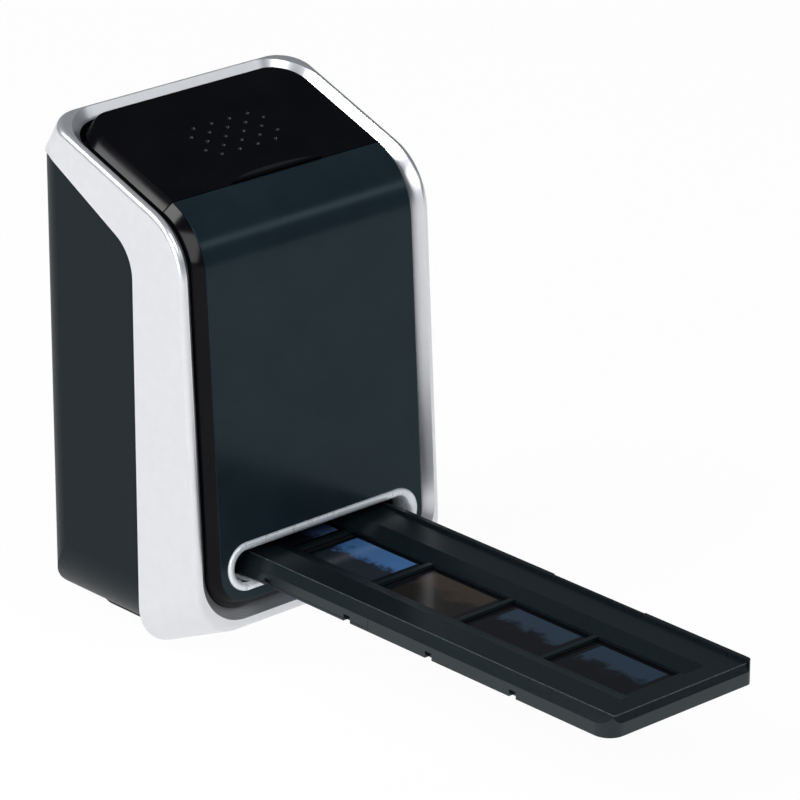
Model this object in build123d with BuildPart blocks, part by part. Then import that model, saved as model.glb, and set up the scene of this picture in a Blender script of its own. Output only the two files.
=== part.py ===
from build123d import *
import os
from math import sin, cos, tan, radians, sqrt

# Film negative scanner, a tower with a leaning front, a sloped lid and a film
# holder that slides through a slot near the bottom.
# Frame: +X right seen from the front, +Y to the back, +Z up, millimetres.
# Origin on the standing plane, under the middle of the housing.

os.makedirs("parts", exist_ok=True)

# ---------------------------------------------------------------- side form
lean = 3.03            # the front leans back, degrees from upright
slope = 19.8           # the lid rises to the back, degrees
face_y = -42.6         # where the front plane meets the standing plane
shoulder_z = 150.7     # where the front plane meets the lid plane
shoulder_r = 24.0      # bend between the two

# ---------------------------------------------------------------- silver ring
body_w = 105.4         # outer width
ring_wall = 2.4
ring_level = 1.2       # crest of the ring below the panel's face
ring_low = 0.8         # lowest line of the ring
ring_seam_y = -10.0    # back edge of its side bands
ring_corner = 16.0     # lower corners seen from the front
chin_angle = 23.6      # the underside rises to the front
ring_flange = 2.0
seam_angle = 28.3      # back edge of the band under the lid
seam_z = 138.6         # where that edge meets the upright one
seam_bend = 15.0
seam_back_z = 161.0    # height of the band round the back
ring_edge = 2.0        # rounding of the outer edge
ring_bevel = 3.1       # inner bevel
ring_face = 5.5        # front of its side bands
mouth_half = body_w / 2 - ring_face   # half width of the ring's front opening
mouth_low = 20.1
mouth_corner = 14.0
mouth_back = 51.1      # along the slope, from the bend
mouth_back_corner = 13.0

# ---------------------------------------------------------------- dark housing
housing_step = 0.5     # set in from the ring
housing_wall = 2.4
housing_corner = 24.0
housing_low = 2.0
back_y = 41.0          # back of the ring
plan_corner = 12.5     # upright corners at the back
back_taper = 0.63      # the back draws in above the band, per mm of height

# ---------------------------------------------------------------- front panel and lid
panel_gap = 0.6
panel_half = mouth_half - panel_gap
panel_low = 20.6
panel_t = 4.4
panel_bevel = 3.1
panel_corner = 13.5
bezel_t = 2.0
bezel_gap = 0.2
bezel_low = 17.5
lid_skin = 2.0
lid_wall = 2.2
lid_gap = 0.4
lid_len = 48.4
lid_corner = 11.0
lip_w = 38.0
lip_depth = 3.6
lip_h = 1.0
lip_flat = 1.0
dot_d = 1.8
dot_pitch = 7.6
dot_row = 3.7
dot_s = 22.4
dot_depth = 0.8

# ---------------------------------------------------------------- lid hinge
hinge_s = 45.0
hinge_level = 4.6
hinge_pin_d = 2.0
hinge_fit = 0.05       # radial play of the pin
ear_r = 2.2
ear_inset = 10.6       # from the lid's side
ear_x = panel_half - ear_inset
ear_w = 3.0
ear_play = 0.4
lug_w = 3.0
trough_front = 42.3
trough_back = 51.1
trough_depth = 9.4     # clear of the lid's back edge when it is open
trough_wall = 1.2
trough_play = 0.3
trough_corner = 8.0

# ---------------------------------------------------------------- controls under the lid
well_inset = 5.6       # from the lid's side
well_half = panel_half - well_inset
well_front = 4.0
well_back = 39.5
deck_wall = 1.4
deck_side = 2.5
deck_depth = 3.6       # floor below the bezel
deck_floor = 1.6
display_w = 50.0
display_l = 23.0
display_t = 2.2
display_s = 26.5
window_t = 1.0
display_corner = 1.5
button_n = 5
button_edge = 13.0     # from the well's side to the outer button
button_pitch = (2 * well_half - 2 * button_edge) / (button_n - 1)
button_s = 9.0
button_d = 7.0
button_play = 0.3
button_rise = 2.6
button_flange = 1.0
button_rim = 1.0
button_travel = 0.6
board_t = 1.2
board_l = 10.0
switch_d = 4.0
switch_h = 0.6
switch_gap = 0.1
post_d = 4.0
post_inset = 4.0
post_x = well_half - post_inset

# ---------------------------------------------------------------- film holder
holder_w = 62.2
holder_t = 8.0
holder_z = 30.4        # underside
frame_n = 6
frame_w = 24.0
frame_l = 36.0
frame_gap = 2.0        # between two frames
frame_pitch = frame_l + frame_gap
gate_w = frame_w + 2.0
gate_l = frame_l + 1.0
light_rim = 3.0        # light box round the gate
light_l = gate_l + 2 * light_rim
light_back = 4.0       # from the light box to the back of the ring
axis_y = back_y - light_back - light_l / 2   # light path, over the innermost frame
holder_end = 12.5      # from the last frame to the holder's end
holder_corner = 6.0    # on the hinge side
latch_corner = 2.5     # on the latch side
wall_h = 4.4           # side walls of the base
holder_rim = 2.5       # rim at the two ends
cover_corner = 4.0
holder_floor = 3.8     # underside to film
rim_w = 1.7
cover_top = 1.0        # cover below the latch rim
crest_side = 3.5       # sloped side of the cover
crest_end = 1.2
cover_play = 0.1
film_room = 0.3
recess_half = 18.0
recess_end = 4.3
bar_drop = 1.8
film_w = 35.0
film_t = 0.15
film_tail = 4.0
notch_l = 3.0
notch_h = 2.4
notch_in = 1.6
notch_y = 11.6         # from a frame's middle
knuckle_y0 = -97.0     # the cover's own knuckle
knuckle_y1 = 5.0
knuckle_play = 0.15
knuckle_low = 0.8      # above the underside
holder_pin_d = 0.8
holder_pin_z = 33.7
holder_pin_end = 6.0
latch_l = 41.0
latch_y = (-137.4, -22.0)
latch_h = 4.2
latch_edge = 0.5

# ---------------------------------------------------------------- slot
slot_z = 35.3
slot_w = 75.6
slot_h = 10.4
slot_lip = 3.0
slot_lip_h = 1.0
slot_sleeve = 1.7
slot_play = 0.1
slot_reach = 8.0
slot_round = 0.8
slot_flare = 1.1

# ---------------------------------------------------------------- film channel and optics
guide_play = 0.3
guide_wall = 2.5
guide_t = 2.4
guide_front = -32.0
guide_gap = 0.6        # to the housing's back wall
light_half = 23.0
light_wall = 2.0
light_ledge = 1.5
light_ear = 4.4
light_ear_t = 3.0
led_n = 4
led_pitch = 8.0
led_w = 3.0
led_h = 0.8
diffuser_t = 2.0
diffuser_drop = 3.0
tower_top_z = 104.0
tower_foot = 46.0
tower_head = 30.0
tower_wall = 2.0
tower_cap = 3.0
tower_shift = 1.5      # keeps the tower off the back wall
barrel_d = 18.0
barrel_bore = 14.0
barrel_l = 20.0
barrel_low = 8.0
lens_t = 4.0
lens_edge = 1.5
standoff_h = 20.0
standoff_d = 4.0
standoff_x = 10.0
sensor_board = 30.0
sensor_w = 14.0
sensor_t = 2.0
detent_t = 0.5
detent_l = 26.0
detent_h = 5.0
detent_z = 31.2
detent_r = 2.6
detent_slot = 8.0

# ---------------------------------------------------------------- main board and sockets
board_x = 30.0
board_y0 = -4.0
board_y1 = 36.8
board_z0 = 52.0
board_z1 = 136.0
boss_d = 5.0
boss_y = (2.0, 22.0)
boss_z = (57.0, 131.0)
usb_z = 64.0
usb_h = 8.0
usb_t = 4.4
usb_l = 9.0
usb_wall = 0.6
card_z = 92.0
card_h = 27.0
card_t = 4.8
card_l = 28.0
card_wall = 0.8
port_play = 0.4
ribbon_w = 12.0
ribbon_t = 0.4
ribbon_x0 = 8.0
ribbon_drop = 12.0
ribbon_bend = 2.0

# ---------------------------------------------------------------- foot and screws
foot_half = 34.0
foot_front = -9.6
foot_back = 37.0
foot_w = 6.0
foot_corner = 10.0
screw_x = 25.0
screw_d = 2.4
screw_head = 4.6
screw_head_h = 1.5
screw_slot = 0.7
exit_play = 0.6        # back opening round the holder


# ---------------------------------------------------------------- side profile helpers
def add2(p, q, k=1.0):
    return (p[0] + k * q[0], p[1] + k * q[1])


face_dir = (sin(radians(lean)), cos(radians(lean)))
face_in = (cos(radians(lean)), -sin(radians(lean)))
slope_dir = (cos(radians(slope)), sin(radians(slope)))
slope_in = (sin(radians(slope)), -cos(radians(slope)))
dot_in = face_in[0] * slope_in[0] + face_in[1] * slope_in[1]
corner = (face_y + tan(radians(lean)) * shoulder_z, shoulder_z)
mitre = ((face_in[0] + slope_in[0]) / (1 + dot_in), (face_in[1] + slope_in[1]) / (1 + dot_in))
centre = add2(corner, mitre, shoulder_r)
mitre_len = sqrt(mitre[0] ** 2 + mitre[1] ** 2)


def bend_start(d):
    """Where the bend leaves the front plane, d below the panel's face."""
    return add2(centre, face_in, d - shoulder_r)


def bend_mid(d):
    return add2(centre, mitre, (d - shoulder_r) / mitre_len)


def bend_end(d):
    """Where the bend meets the lid plane."""
    return add2(centre, slope_in, d - shoulder_r)


def face_pt(d, z):
    p = bend_start(d)
    return add2(p, face_dir, (z - p[1]) / face_dir[1])


def slope_pt(d, s):
    return add2(bend_end(d), slope_dir, s)


def skin_line(d, z, s):
    """Front plane from height z, bend, then s along the slope."""
    Line(face_pt(d, z), bend_start(d))
    ThreePointArc(bend_start(d), bend_mid(d), bend_end(d))
    if s > 0:
        Line(bend_end(d), slope_pt(d, s))


def band(d0, d1, z, s):
    """Closed strip between two depths under the face."""
    skin_line(d0, z, s)
    Line(slope_pt(d0, s), slope_pt(d1, s))
    skin_line(d1, z, s)
    Line(face_pt(d1, z), face_pt(d0, z))


def behind(d):
    """Everything behind the skin at depth d."""
    far = slope_pt(d, 4 * back_y)
    skin_line(d, -back_y, 4 * back_y)
    Polyline(far, (far[0], -back_y), face_pt(d, -back_y))


def tub(half, low, r, top):
    """Front outline with rounded lower corners."""
    k = r * (1 - sqrt(0.5))
    Line((-half, top), (-half, low + r))
    ThreePointArc((-half, low + r), (-half + k, low + k), (-half + r, low))
    Line((-half + r, low), (half - r, low))
    ThreePointArc((half - r, low), (half - k, low + k), (half, low + r))
    Polyline((half, low + r), (half, top), (-half, top))


def plan(half, back, r, front):
    """Plan outline with rounded corners at the back."""
    k = r * (1 - sqrt(0.5))
    Line((half, front), (half, back - r))
    ThreePointArc((half, back - r), (half - k, back - k), (half - r, back))
    Line((half - r, back), (-half + r, back))
    ThreePointArc((-half + r, back), (-half + k, back - k), (-half, back - r))
    Polyline((-half, back - r), (-half, front), (half, front))


def depth_of(v):
    """Depth of a point under the face."""
    p = (v.Y, v.Z)
    a = bend_start(0)
    b = bend_end(0)
    if (p[0] - a[0]) * face_dir[0] + (p[1] - a[1]) * face_dir[1] <= 0:
        return (p[0] - a[0]) * face_in[0] + (p[1] - a[1]) * face_in[1]
    if (p[0] - b[0]) * slope_dir[0] + (p[1] - b[1]) * slope_dir[1] >= 0:
        return (p[0] - b[0]) * slope_in[0] + (p[1] - b[1]) * slope_in[1]
    return shoulder_r - sqrt((p[0] - centre[0]) ** 2 + (p[1] - centre[1]) ** 2)


def along_slope(v):
    b = bend_end(0)
    return (v.Y - b[0]) * slope_dir[0] + (v.Z - b[1]) * slope_dir[1]


lid_plane = Plane(origin=(0, bend_end(0)[0], bend_end(0)[1]), x_dir=(1, 0, 0),
                  z_dir=(0, -slope_in[0], -slope_in[1]))
slot_pt = face_pt(0, slot_z)
face_plane = Plane(origin=(0, slot_pt[0], slot_pt[1]), x_dir=(1, 0, 0),
                   z_dir=(0, -face_in[0], -face_in[1]))
body_half = body_w / 2
tall = shoulder_z + 3 * back_y
rise = tan(radians(chin_angle))


def plan_form(inset):
    """Upright prism of the plan outline, drawn in at the back above the band."""
    with BuildPart() as p:
        with BuildSketch(Plane.XY.offset(-back_y)):
            with BuildLine():
                plan(body_half - inset, back_y - inset, plan_corner - inset, -2 * back_y)
            make_face()
        extrude(amount=back_y + seam_back_z)
        with BuildSketch(Plane.XY.offset(seam_back_z)):
            with BuildLine():
                plan(body_half - inset, back_y - inset, plan_corner - inset, -2 * back_y)
            make_face()
        with BuildSketch(Plane.XY.offset(seam_back_z + back_y)):
            with BuildLine():
                plan(body_half - inset, back_y - inset - back_taper * back_y, plan_corner - inset, -2 * back_y)
            make_face()
        loft(ruled=True)
    return p.part


def form(inset, depth, low, r):
    """Outer form of the body, set in at the sides and back, with its front skin at depth."""
    reach = 0.9 * back_y
    half = body_half - inset
    with BuildPart() as p:
        with BuildSketch(Plane.XZ.offset(reach - ring_seam_y)):
            with BuildLine():
                tub(half, low + reach * rise, r, tall)
            make_face()
        with BuildSketch(Plane.XZ.offset(-ring_seam_y)):
            with BuildLine():
                tub(half, low, r, tall)
            make_face()
        loft(ruled=True)
        with BuildSketch(Plane.XZ.offset(-ring_seam_y)):
            with BuildLine():
                tub(half, low, r, tall)
            make_face()
        extrude(amount=ring_seam_y - 2 * back_y)
        with BuildSketch(Plane.YZ):
            with BuildLine():
                behind(depth)
            make_face()
        extrude(amount=body_w, both=True, mode=Mode.INTERSECT)
        add(plan_form(inset), mode=Mode.INTERSECT)
    return p.part


def seam(step, front):
    """Side view of the region before the seam line, or behind it, moved out by step."""
    k = tan(radians(seam_angle))
    y0 = ring_seam_y - step
    lift = seam_z + step / cos(radians(seam_angle))
    z0 = lift - step * k
    z1 = seam_back_z + step
    y1 = ring_seam_y + (z1 - lift) / k
    far = -3 * back_y if front else 3 * back_y
    line = [(y0, -back_y), (y0, z0), (y1, z1), (3 * back_y, z1)]
    if front:
        return line + [(3 * back_y, tall + back_y), (far, tall + back_y), (far, -back_y)], (y0, z0)
    return line + [(far, -back_y)], (y0, z0)


def seam_form(step, front):
    with BuildPart() as p:
        with BuildSketch(Plane.YZ):
            pts, bend = seam(step, front)
            with BuildLine():
                Polyline(*pts, close=True)
            make_face()
            fillet(vertices().sort_by_distance(Vector(bend[0], bend[1], 0))[0], seam_bend)
        extrude(amount=body_w, both=True)
    return p.part


# ---------------------------------------------------------------- silver ring
with BuildPart() as mouth:
    with BuildSketch(Plane.XZ.offset(-3 * back_y)):
        with BuildLine():
            tub(mouth_half, mouth_low, mouth_corner, tall)
        make_face()
    extrude(amount=6 * back_y)
    with BuildSketch(lid_plane):
        with BuildLine():
            plan(mouth_half, mouth_back, mouth_back_corner, -tall)
        make_face()
    extrude(amount=tall, both=True, mode=Mode.INTERSECT)

with BuildPart() as ring_hollow:
    add(form(ring_wall, panel_t, ring_low + ring_wall, ring_corner - ring_wall))
    add(seam_form(ring_flange, True), mode=Mode.INTERSECT)

housing_inset = housing_step + housing_wall
with BuildPart() as housing_hollow:
    add(form(housing_inset, panel_t + bezel_t, housing_low + housing_wall, housing_corner - housing_wall))

with BuildPart() as frame_ring:
    add(form(0, ring_level, ring_low, ring_corner))
    add(seam_form(0, True), mode=Mode.INTERSECT)
    add(ring_hollow.part, mode=Mode.SUBTRACT)
    add(housing_hollow.part, mode=Mode.SUBTRACT)
    add(mouth.part, mode=Mode.SUBTRACT)
    crest = [e for e in edges() if abs(depth_of(e @ 0.5) - ring_level) < 0.01]
    inner = [e for e in crest if abs((e @ 0.5).X) < mouth_half + 0.05
             and along_slope(e @ 0.5) < mouth_back + 0.05 and (e @ 0.5).Z > mouth_low - 0.05]
    chamfer(inner, ring_bevel)
    outer = [e for e in edges() if abs(depth_of(e @ 0.5) - ring_level) < 0.01
             and (abs((e @ 0.5).X) > body_half - 0.05 or (e @ 0.5).Z < mouth_low - ring_bevel - 1
                  or along_slope(e @ 0.5) > mouth_back + ring_bevel + 1)]
    fillet(outer, ring_edge)
frame_ring.part.label = "frame_ring"
export_step(frame_ring.part, "parts/frame_ring.step")


# ---------------------------------------------------------------- helpers for flat pieces
def slab(s0, s1, d0, d1):
    """Side view outline between two places along the slope and two depths."""
    Polyline(slope_pt(d0, s0), slope_pt(d0, s1), slope_pt(d1, s1), slope_pt(d1, s0), close=True)


def trough(grow, d0, d1):
    """Room round the lid's hinge, between two depths."""
    with BuildPart() as p:
        with BuildSketch(lid_plane.offset(-d1)):
            with BuildLine():
                plan(panel_half + trough_play + grow, trough_back + grow, trough_corner + grow, 0)
            make_face()
        extrude(amount=d1 - d0)
        with BuildSketch(Plane.YZ):
            with BuildLine():
                slab(trough_front - grow, tall, d0 - 1, d1 + 1)
            make_face()
        extrude(amount=body_w, both=True, mode=Mode.INTERSECT)
    return p.part


def brick(x0, x1, y0, y1, z0, z1, mode=Mode.ADD):
    """Block between two corners."""
    with Locations(((x0 + x1) / 2, (y0 + y1) / 2, (z0 + z1) / 2)):
        Box(x1 - x0, y1 - y0, z1 - z0, mode=mode)


pivot = slope_pt(hinge_level, hinge_s)
bezel_back = panel_t + bezel_t
deck_level = bezel_back + deck_depth
deck_under = deck_level + deck_floor
button_low = deck_under + button_flange
board_level = button_low + button_travel + switch_gap + switch_h
button_x = [(i - (button_n - 1) / 2) * button_pitch for i in range(button_n)]
holder_half = holder_w / 2
holder_top = holder_z + holder_t
film_z = holder_z + holder_floor
frame_y = [axis_y - i * frame_pitch for i in range(frame_n)]
holder_y0 = frame_y[-1] - frame_l / 2 - holder_end
holder_y1 = frame_y[0] + frame_l / 2 + holder_end
holder_mid = (holder_y0 + holder_y1) / 2
cover_half = holder_half - rim_w
cover_z = holder_top - cover_top
cover_low = film_z + film_room
wall_z = holder_z + wall_h
knuckle_z = holder_z + knuckle_low
guide_low = holder_z - guide_play - guide_t
guide_high = holder_top + guide_play
guide_half = holder_half + guide_play + guide_wall
inner_half = body_half - housing_inset
inner_back = back_y - housing_inset
outer_half = body_half - housing_step
outer_back = back_y - housing_step
floor_z = housing_low + housing_wall

# ---------------------------------------------------------------- inner bezel
with BuildPart() as inner_bezel:
    with BuildSketch(Plane.YZ):
        with BuildLine():
            band(panel_t, bezel_back, bezel_low, tall)
        make_face()
    extrude(amount=body_w, both=True)
    add(form(ring_wall + bezel_gap, panel_t, ring_low + ring_wall + bezel_gap,
             ring_corner - ring_wall - bezel_gap), mode=Mode.INTERSECT)
    add(trough(trough_wall, bezel_back - trough_wall / 2, trough_depth + trough_wall))
    add(trough(0, 0, trough_depth), mode=Mode.SUBTRACT)
    with BuildSketch(lid_plane.offset(-bezel_back - 1)):
        with Locations((0, (well_front + well_back) / 2)):
            RectangleRounded(2 * well_half, well_back - well_front, ear_r)
    extrude(amount=bezel_back, mode=Mode.SUBTRACT)
    with BuildSketch(face_plane.offset(-2 * slot_reach)):
        SlotOverall(slot_w + 2 * (slot_sleeve + slot_play), slot_h + 2 * (slot_sleeve + slot_play))
    extrude(amount=3 * slot_reach, mode=Mode.SUBTRACT)
    for side in (-1, 1):
        lug_x = side * (ear_x + ear_w / 2 + ear_play + lug_w / 2)
        with BuildSketch(Plane.YZ.offset(lug_x - lug_w / 2)):
            with BuildLine():
                slab(hinge_s - ear_r, hinge_s + ear_r, hinge_level, trough_depth + trough_wall / 2)
            make_face()
            with Locations(pivot):
                Circle(ear_r)
                Circle(hinge_pin_d / 2, mode=Mode.SUBTRACT)
        extrude(amount=lug_w)
inner_bezel.part.label = "inner_bezel"
export_step(inner_bezel.part, "parts/inner_bezel.step")

# ---------------------------------------------------------------- front panel
with BuildPart() as front_panel:
    with BuildSketch(Plane.YZ):
        with BuildLine():
            band(0, panel_t, panel_low - panel_t, 0)
        make_face()
    extrude(amount=body_w, both=True)
    with BuildSketch(Plane.XZ.offset(-3 * back_y)):
        with BuildLine():
            tub(panel_half, panel_low, panel_corner, tall)
        make_face()
    extrude(amount=6 * back_y, mode=Mode.INTERSECT)
    rim = [e for e in edges() if abs(depth_of(e @ 0.5)) < 0.01 and along_slope(e @ 0.5) < -0.05]
    chamfer(rim, panel_bevel)
    with BuildSketch(face_plane.offset(-2 * slot_reach)):
        SlotOverall(slot_w + 2 * (slot_sleeve + slot_play), slot_h + 2 * (slot_sleeve + slot_play))
    extrude(amount=3 * slot_reach, mode=Mode.SUBTRACT)
front_panel.part.label = "front_panel"
export_step(front_panel.part, "parts/front_panel.step")

# ---------------------------------------------------------------- rim of the film slot
front_axis = Axis(face_plane.origin, face_plane.z_dir)
with BuildPart() as slot_ring:
    with BuildSketch(face_plane.offset(-slot_reach)):
        SlotOverall(slot_w + 2 * slot_sleeve, slot_h + 2 * slot_sleeve)
    extrude(amount=slot_reach)
    with BuildSketch(face_plane):
        SlotOverall(slot_w + 2 * slot_lip, slot_h + 2 * slot_lip)
    extrude(amount=slot_lip_h)
    fillet(faces().sort_by(front_axis)[-1].edges(), slot_round)
    with BuildSketch(face_plane.offset(-slot_reach - 1)):
        SlotOverall(slot_w, slot_h)
    extrude(amount=slot_reach + slot_lip_h + 2, mode=Mode.SUBTRACT)
    chamfer(faces().sort_by(front_axis)[-1].inner_wires()[0].edges(), slot_flare)
slot_ring.part.label = "slot_ring"
export_step(slot_ring.part, "parts/slot_ring.step")

# ---------------------------------------------------------------- lid
with BuildPart() as thumb_lip:
    with BuildSketch(lid_plane.offset(-dot_depth)):
        with BuildLine():
            ThreePointArc((-lip_w / 2, lid_gap), (0, lid_gap + lip_depth), (lip_w / 2, lid_gap))
            Line((lip_w / 2, lid_gap), (-lip_w / 2, lid_gap))
        make_face()
    extrude(amount=dot_depth + 2 * lip_h)
    with BuildSketch(Plane.YZ):
        with BuildLine():
            Polyline(slope_pt(dot_depth, lid_gap), slope_pt(-lip_h, lid_gap), slope_pt(-lip_h, lid_gap + lip_flat),
                     slope_pt(0, lid_gap + lip_depth), slope_pt(dot_depth, lid_gap + lip_depth), close=True)
        make_face()
    extrude(amount=lip_w, both=True, mode=Mode.INTERSECT)

with BuildPart() as top_lid:
    with BuildSketch(lid_plane.offset(-panel_t)):
        with BuildLine():
            plan(panel_half, lid_len, lid_corner + panel_bevel / 2, lid_gap)
        make_face()
    extrude(amount=panel_t - panel_bevel)
    with BuildSketch(lid_plane.offset(-panel_bevel)):
        with BuildLine():
            plan(panel_half, lid_len, lid_corner + panel_bevel / 2, lid_gap)
        make_face()
    with BuildSketch(lid_plane):
        with BuildLine():
            plan(panel_half - panel_bevel, lid_len, lid_corner, lid_gap)
        make_face()
    loft(ruled=True)
    with BuildSketch(lid_plane.offset(-panel_t)):
        with BuildLine():
            plan(panel_half - panel_bevel - lid_wall / 2, lid_len - lid_wall, lid_corner - lid_wall / 2,
                 lid_gap + lid_wall)
        make_face()
    extrude(amount=panel_t - lid_skin, mode=Mode.SUBTRACT)
    for side in (-1, 1):
        lug_x = side * (ear_x + ear_w / 2 + ear_play + lug_w / 2)
        with BuildSketch(Plane.YZ.offset(lug_x - lug_w / 2 - ear_play)):
            with Locations(pivot):
                Circle(ear_r + ear_play)
        extrude(amount=lug_w + 2 * ear_play, mode=Mode.SUBTRACT)
        with BuildSketch(Plane.YZ.offset(lug_x - lug_w / 2 - ear_play)):
            with BuildLine():
                slab(hinge_s, lid_len + 1, lid_skin, panel_t + 1)
            make_face()
        extrude(amount=lug_w + 2 * ear_play, mode=Mode.SUBTRACT)
        with BuildSketch(Plane.YZ.offset(side * ear_x - ear_w / 2)):
            with BuildLine():
                slab(hinge_s - ear_r, hinge_s + ear_r, lid_skin / 2, hinge_level)
            make_face()
            with Locations(pivot):
                Circle(ear_r)
                Circle(hinge_pin_d / 2 + hinge_fit, mode=Mode.SUBTRACT)
        extrude(amount=ear_w)
    with BuildSketch(Plane.YZ):
        with Locations(pivot):
            Circle(hinge_pin_d / 2 + hinge_fit)
    extrude(amount=ear_x + ear_w / 2 + ear_play, both=True, mode=Mode.SUBTRACT)
    sites = []
    for r in range(5):
        n = 4 + r % 2
        sites += [((i - (n - 1) / 2) * dot_pitch, dot_s + (r - 2) * dot_row) for i in range(n)]
    with BuildSketch(lid_plane.offset(-dot_depth)):
        with Locations(*sites):
            Circle(dot_d / 2)
    extrude(amount=2 * dot_depth, mode=Mode.SUBTRACT)
    add(thumb_lip.part)
top_lid.part.label = "top_lid"
export_step(top_lid.part, "parts/top_lid.step")

with BuildPart() as lid_hinge_pin:
    with BuildSketch(Plane.YZ):
        with Locations(pivot):
            Circle(hinge_pin_d / 2)
    extrude(amount=ear_x + ear_w / 2 + ear_play + lug_w, both=True)
lid_hinge_pin.part.label = "lid_hinge_pin"
export_step(lid_hinge_pin.part, "parts/lid_hinge_pin.step")

# ---------------------------------------------------------------- controls under the lid
with BuildPart() as control_deck:
    deck_mid = (well_front + well_back) / 2
    with BuildSketch(lid_plane.offset(-deck_under)):
        with Locations((0, deck_mid)):
            RectangleRounded(2 * (well_half + deck_side), well_back - well_front + 2 * deck_wall, ear_r + deck_wall)
    extrude(amount=deck_under - bezel_back)
    with BuildSketch(lid_plane.offset(-deck_level)):
        with Locations((0, deck_mid)):
            RectangleRounded(2 * well_half, well_back - well_front, ear_r)
    extrude(amount=deck_depth, mode=Mode.SUBTRACT)
    with BuildSketch(lid_plane.offset(-deck_under - 1)):
        with Locations(*[(x, button_s) for x in button_x]):
            Circle(button_d / 2 + button_play)
    extrude(amount=deck_depth, mode=Mode.SUBTRACT)
    with BuildSketch(lid_plane.offset(-board_level)):
        with Locations((-post_x, button_s), (post_x, button_s)):
            Circle(post_d / 2)
    extrude(amount=board_level - deck_under + deck_floor / 2)
control_deck.part.label = "control_deck"
export_step(control_deck.part, "parts/control_deck.step")

for name, level, thick in (("display_module", deck_level, display_t),
                           ("display_window", deck_level - display_t, window_t)):
    with BuildPart() as flat:
        with BuildSketch(lid_plane.offset(-level)):
            with Locations((0, display_s)):
                RectangleRounded(display_w, display_l, display_corner)
        extrude(amount=thick)
    flat.part.label = name
    export_step(flat.part, "parts/" + name + ".step")

for i in range(button_n):
    with BuildPart() as button:
        with BuildSketch(lid_plane.offset(-button_low)):
            with Locations((button_x[i], button_s)):
                Circle(button_d / 2 + button_rim)
        extrude(amount=button_flange)
        with BuildSketch(lid_plane.offset(-deck_under)):
            with Locations((button_x[i], button_s)):
                Circle(button_d / 2)
        extrude(amount=deck_floor + button_rise)
        fillet(edges().filter_by(GeomType.CIRCLE).sort_by(Axis(lid_plane.origin, lid_plane.z_dir))[-1], button_rim / 2)
    button.part.label = "button_" + str(i + 1)
    export_step(button.part, "parts/button_" + str(i + 1) + ".step")

with BuildPart() as button_board:
    with BuildSketch(lid_plane.offset(-board_level - board_t)):
        with Locations((0, button_s)):
            Rectangle(2 * post_x + post_d, board_l)
    extrude(amount=board_t)
    with BuildSketch(lid_plane.offset(-board_level)):
        with Locations(*[(x, button_s) for x in button_x]):
            Circle(switch_d / 2)
    extrude(amount=switch_h)
button_board.part.label = "button_board"
export_step(button_board.part, "parts/button_board.step")

# ---------------------------------------------------------------- film holder
def plate(z, h):
    """Outline of the holder, h thick."""
    with BuildPart() as p:
        with BuildSketch(Plane.XY.offset(z)):
            with Locations((0, holder_mid)):
                Rectangle(holder_w, holder_y1 - holder_y0)
            fillet(vertices().sort_by(Axis.X)[:2], holder_corner)
            fillet(vertices().sort_by(Axis.X)[-2:], latch_corner)
        extrude(amount=h)
    return p.part


with BuildPart() as holder_base:
    add(plate(holder_z, holder_t))
    brick(-2 * holder_half, cover_half, holder_y0 - 1, holder_y1 + 1, wall_z, holder_top + 1, Mode.SUBTRACT)
    with BuildSketch(Plane.XY.offset(film_z)):
        with Locations((0, holder_mid)):
            RectangleRounded(2 * cover_half, holder_y1 - holder_y0 - 2 * holder_rim, cover_corner)
    extrude(amount=holder_t, mode=Mode.SUBTRACT)
    with BuildSketch(Plane.XY.offset(holder_z - 1)):
        with Locations(*[(0, y) for y in frame_y]):
            Rectangle(frame_w, frame_l)
    extrude(amount=holder_t, mode=Mode.SUBTRACT)
    brick(-2 * holder_half, -cover_half, knuckle_y0, knuckle_y1, knuckle_z, holder_top + 1, Mode.SUBTRACT)
    for y in latch_y:
        brick(cover_half, 2 * holder_half, y - latch_l / 2, y + latch_l / 2, film_z, holder_top + 1, Mode.SUBTRACT)
    for y in frame_y:
        brick(-2 * holder_half, -holder_half + notch_in, y + notch_y - notch_l / 2, y + notch_y + notch_l / 2,
              holder_z - 1, holder_z + notch_h, Mode.SUBTRACT)
    with BuildSketch(Plane.XZ.offset(-holder_y1 + holder_pin_end)):
        with Locations((-holder_half + rim_w / 2, holder_pin_z)):
            Circle(holder_pin_d / 2)
    extrude(amount=holder_y1 - holder_y0 - 2 * holder_pin_end, mode=Mode.SUBTRACT)
holder_base.part.label = "holder_base"
export_step(holder_base.part, "parts/holder_base.step")

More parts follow.
